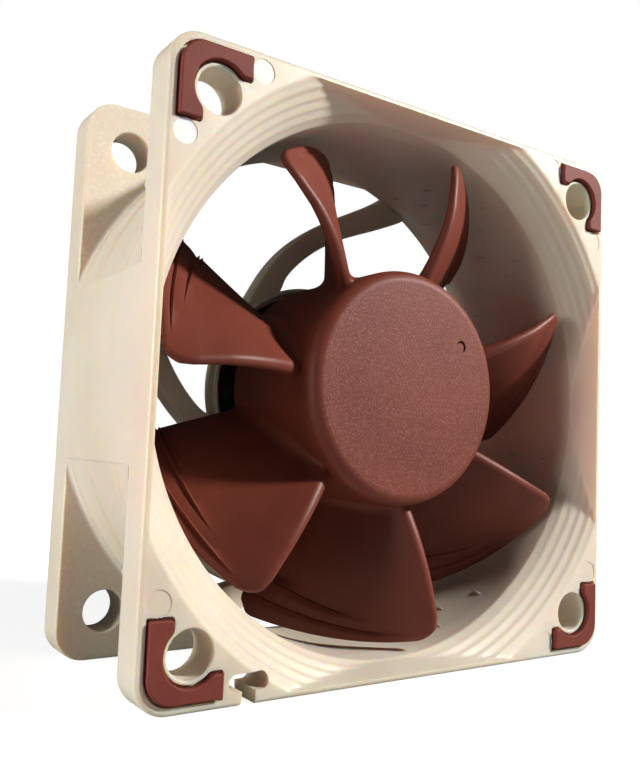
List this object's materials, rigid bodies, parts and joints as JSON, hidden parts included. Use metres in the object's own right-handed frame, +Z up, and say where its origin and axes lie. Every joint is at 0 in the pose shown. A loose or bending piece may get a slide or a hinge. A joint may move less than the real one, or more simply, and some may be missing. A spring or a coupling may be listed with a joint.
{
  "type": "case fan",
  "caption": "Square framed axial cooling fan with a stepped round intake, swept blades, curved struts, an outer-rotor motor and soft corner pads.",
  "frame": {"origin": "on the fan's bottom edge, at the middle of its width and depth", "axes": "Y runs along the fan's axis from the intake to the outlet, so the intake faces -Y; Z is up and X runs across the frame"},
  "size_m": [0.06, 0.026, 0.06],
  "materials": {
    "frame_plastic": "fine moulded satin, cream",
    "impeller_plastic": "fine moulded satin, maroon brown",
    "pad_rubber": "matt silicone rubber",
    "steel": "turned and pressed steel",
    "magnet_ferrite": "matt sintered ferrite",
    "brass": "turned brass",
    "sintered_bronze": "porous sintered bronze",
    "seal_rubber": "matt black rubber",
    "nylon": "moulded off-white nylon",
    "silicon_steel": "stamped laminations",
    "enamelled_copper": "wound enamelled wire",
    "tinned_wire": "dull tinned wire",
    "board_laminate": "dark solder mask",
    "chip_package": "matt black moulding",
    "capacitor_ceramic": "smooth ceramic",
    "label_film": "plain printed film with no print"
  },
  "bodies": {
    "frame_assembly": {"frame": "frame_plastic", "bearing_shell": "brass", "sleeve_bearing": "sintered_bronze", "oil_seal": "seal_rubber", "thrust_pad": "nylon", "stator_core": "silicon_steel", "front_insulator": "nylon", "rear_insulator": "nylon", "coil_1": "enamelled_copper", "coil_2": "enamelled_copper", "coil_3": "enamelled_copper", "coil_4": "enamelled_copper", "winding_pin_1": "tinned_wire", "winding_pin_2": "tinned_wire", "winding_pin_3": "tinned_wire", "winding_pin_4": "tinned_wire", "circuit_board": "board_laminate", "hall_sensor": "chip_package", "driver_chip": "chip_package", "capacitor_1": "capacitor_ceramic", "capacitor_2": "capacitor_ceramic", "rear_label": "label_film", "front_pad_upper_right": "pad_rubber", "front_pad_upper_left": "pad_rubber", "front_pad_lower_left": "pad_rubber", "front_pad_lower_right": "pad_rubber", "rear_pad_upper_right": "pad_rubber", "rear_pad_upper_left": "pad_rubber", "rear_pad_lower_left": "pad_rubber", "rear_pad_lower_right": "pad_rubber"},
    "rotor": {"impeller": "impeller_plastic", "rotor_yoke": "steel", "ring_magnet": "magnet_ferrite", "shaft_bush": "brass", "rotor_shaft": "steel", "shaft_clip": "steel"}
  },
  "joints": [
    {"name": "rotor_spin", "type": "hinge", "parent": "frame_assembly", "child": "rotor", "pos_m": [0, 0, 0.03], "axis": [0, -1, 0], "continuous": true}
  ]
}
